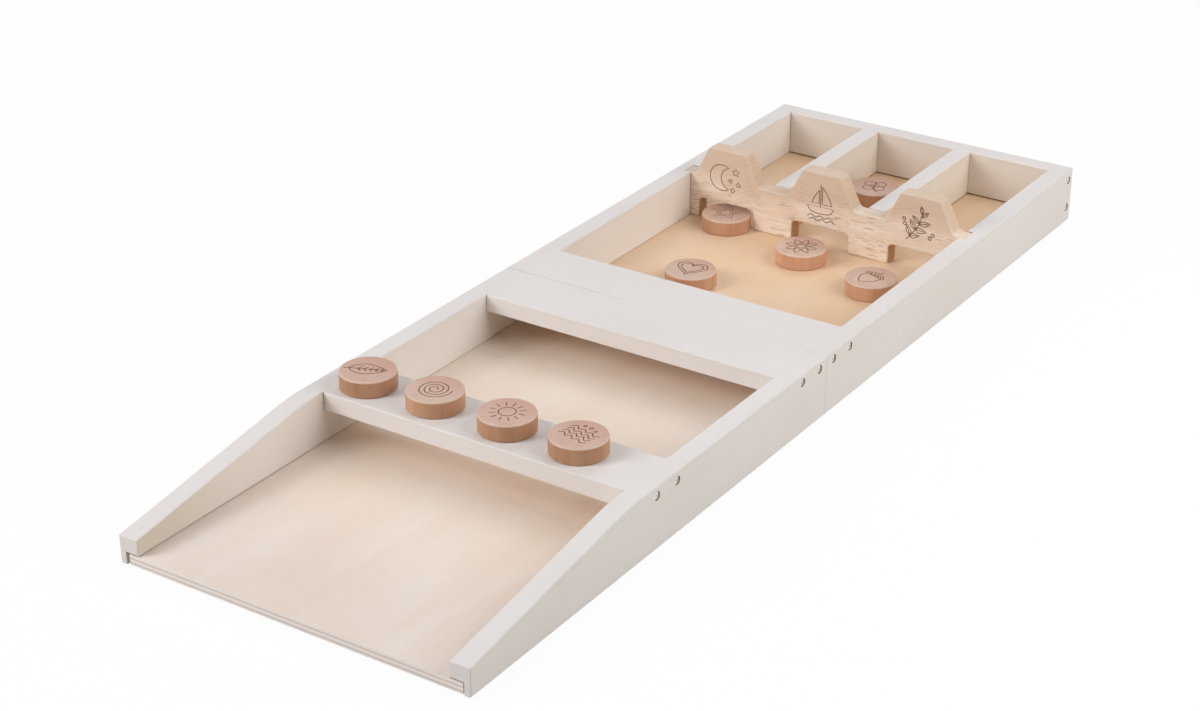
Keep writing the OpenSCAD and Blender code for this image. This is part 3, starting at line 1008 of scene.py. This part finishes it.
setCopies = newTree("setCopies", {"points": "Geometry", "thing": "Object", "seed": "Int"}, aimedCopies)


# Turns a profile of radius and height, in mm, round the Z axis
def turnedForm(profile):
    return skin([circle(radius * mm, z * mm, 40) for radius, z in profile])


# A countersunk screw along +Z, in mm, with the rim of its head at the origin and domed by rise
def screwTemplate(head, shank, length, rise=0):
    shape = screwShape
    r, s, lip = head / 2, shank / 2, shape["lip"] * head
    screw = newPiece("screwTemplate", turnedForm([
        (0, -rise), (r * 0.55, -rise), (r * 0.85, -rise * 0.75), (r - lip * 0.4, -rise * 0.3), (r, lip),
        (s, lip + r - s), (s, length - 2 * s), (0, length)]), screwSteel)
    reach, wide, deep = r * shape["recessLength"] / 2, r * shape["recessWidth"], r * shape["recessDepth"]
    mouth, foot = (reach, wide / 2, -shape["recessSpare"] - rise), (reach * 0.45, wide / 3, deep)
    recess = bmesh.new()
    for angle in (0, pi / 2):
        turn = Matrix.Rotation(angle, 4, "Z")
        skin([[turn @ Vector((x * a, y * b, z)) * mm for x, y in ((-1, -1), (1, -1), (1, 1), (-1, 1))]
              for a, b, z in (mouth, foot)], recess)
    return cutAway(screw, newPiece("recessCutter", recess), selfCrossing=True)


# radii and heights of a foot, whose top lies against the plywood
footProfile = ((0, 0), (4.6, 0), (5.2, 0.15), (5.55, 0.6), (5.95, 4.6), (5.95, 5), (0, 5))


# Each set of copies stands for the CAD node of the same name without its first word
def placeCopies(name, places, template, body, slot):
    form = bmesh.new()
    for point, way in places:
        form.verts.new(point)
    holder = newPiece(name, form)
    aim = holder.data.attributes.new("aim", "FLOAT_VECTOR", "POINT")
    for mark, (point, way) in zip(aim.data, places):
        mark.vector = way
    runTree(holder, setCopies, thing=template, seed=screwShape["seed"], finish=template.data.materials[0])
    evenShading(holder)
    return fitOut(holder, body, slot, name.split("_", 1)[1])


fasteners = {
    "steel_frame_screws_": (framePlaces, screwTemplate(7.2, 3.8, 40, screwShape["rise"]), "screw_steel"),
    "steel_floor_screws_": (floorPlaces, screwTemplate(6, 2.8, 16), "screw_steel"),
    "steel_leaf_screws_": (leafPlaces, screwTemplate(4.5, 2.3, 8), "screw_steel"),
    "rubber_feet_": (footPlaces, newPiece("footTemplate", turnedForm(footProfile), footRubber), "foot_rubber"),
}
for half, word in halves:
    for kind, (places, template, slot) in fasteners.items():
        placeCopies(kind + word, places(half), template, halfBody[half], slot)
for places, template, slot in fasteners.values():
    discard(template)


print("hinges")
for nodeName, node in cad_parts.items():
    if nodeName.startswith("hinge"):
        for slot in node.material_slots:
            slot.material = hingeSteel


print("floor, lights and camera")
stageLook = {"floorSize": 14, "floorTone": 0.55, "shadowShare": 0.05}
white = (1, 1, 1, 1)


# 1 for the rays that show the background as it looks
def seenRays(wire):
    straight, mirrored, through = (wire.node("ShaderNodeLightPath", output="Is %s Ray" % kind)
                                   for kind in ("Camera", "Glossy", "Transmission"))
    return wire.maths("MAXIMUM", wire.maths("MAXIMUM", straight, mirrored), through)


def floorMaterial():
    material = bpy.data.materials.new("studioFloor")
    wire = freshWire(material)
    grain = wire.noise(wire.place(), 3)
    tone = stageLook["floorTone"]
    matt = wire.node("ShaderNodeBsdfDiffuse", {"Color": wire.blend((tone,) * 3, (tone * 0.985,) * 3, grain)})
    bright = wire.node("ShaderNodeBsdfDiffuse", {"Color": white})
    glow = wire.node("ShaderNodeEmission", {"Color": white, "Strength": 1})
    seen = wire.node("ShaderNodeMixShader", {0: stageLook["shadowShare"], 1: glow, 2: bright})
    surface = wire.node("ShaderNodeMixShader", {0: seenRays(wire), 1: matt, 2: seen})
    wire.node("ShaderNodeOutputMaterial", {"Surface": surface})
    return material


floorForm = bmesh.new()
bmesh.ops.create_grid(floorForm, x_segments=2, y_segments=2, size=stageLook["floorSize"] / 2)
studioFloor = newPiece("studio_floor", floorForm, floorMaterial())

skyPlan = {"colour": white, "strength": 0.19}
scene.world = bpy.data.worlds.new("studioAir")
air = freshWire(scene.world)
soft = air.node("ShaderNodeBackground", {"Color": skyPlan["colour"], "Strength": skyPlan["strength"]})
clear = air.node("ShaderNodeBackground", {"Color": white, "Strength": 1})
around = air.node("ShaderNodeMixShader", {0: seenRays(air), 1: soft, 2: clear})
air.node("ShaderNodeOutputWorld", {"Surface": around})


# The way from the board to a bearing and a height in degrees; the bearing runs from the nose end
# towards the right-hand rail
def wayTo(bearing, height):
    b, h = radians(bearing), radians(height)
    return Vector((sin(b) * cos(h), -cos(b) * cos(h), sin(h)))


# each lamp's bearing and height, and how far it is from its aim, a place along the board
lampPlan = {
    "key": {"bearing": -38, "height": 25, "away": 3, "aim": 0, "size": 1.4, "power": 38},
    "highKey": {"bearing": -35, "height": 45, "away": 3, "aim": 0, "size": 1.4, "power": 17},
    "side": {"bearing": 90, "height": 34, "away": 1.9, "aim": 0.36, "size": 1.8, "power": 24},
    "back": {"bearing": -150, "height": 55, "away": 2.2, "aim": 0.2, "size": 1.1, "power": 7},
}
for label, lampLook in lampPlan.items():
    lamp = bpy.data.lights.new(label, "AREA")
    lamp.shape = "DISK"
    lamp.size, lamp.energy = lampLook["size"], lampLook["power"]
    holder = bpy.data.objects.new(label, lamp)
    spot = wayTo(lampLook["bearing"], lampLook["height"])
    holder.location = spot * lampLook["away"] + Vector((0, lampLook["aim"], 0))
    holder.rotation_euler = (-spot).to_track_quat("-Z", "Y").to_euler()
    scene.collection.objects.link(holder)

cameraPlan = {"place": (0.9845, -1.5703, 0.9341), "bearing": 33.68, "height": 26.38, "roll": -0.119,
              "lens": 72.68, "film": 36, "clip": (0.01, 60)}
ahead = -wayTo(cameraPlan["bearing"], cameraPlan["height"])
bearing, roll = (radians(cameraPlan[k]) for k in ("bearing", "roll"))
level = Vector((cos(bearing), sin(bearing), 0))
across = cos(roll) * level + sin(roll) * level.cross(ahead)
camera = bpy.data.objects.new("camera", bpy.data.cameras.new("camera"))
camera.data.sensor_fit, camera.data.sensor_width = "HORIZONTAL", cameraPlan["film"]
camera.data.lens = cameraPlan["lens"]
camera.data.clip_start, camera.data.clip_end = cameraPlan["clip"]
turn = Matrix((across, across.cross(ahead), -ahead)).transposed().to_4x4()
camera.matrix_world = Matrix.Translation(cameraPlan["place"]) @ turn
scene.collection.objects.link(camera)
scene.camera = camera
scene.view_settings.view_transform = "Standard"
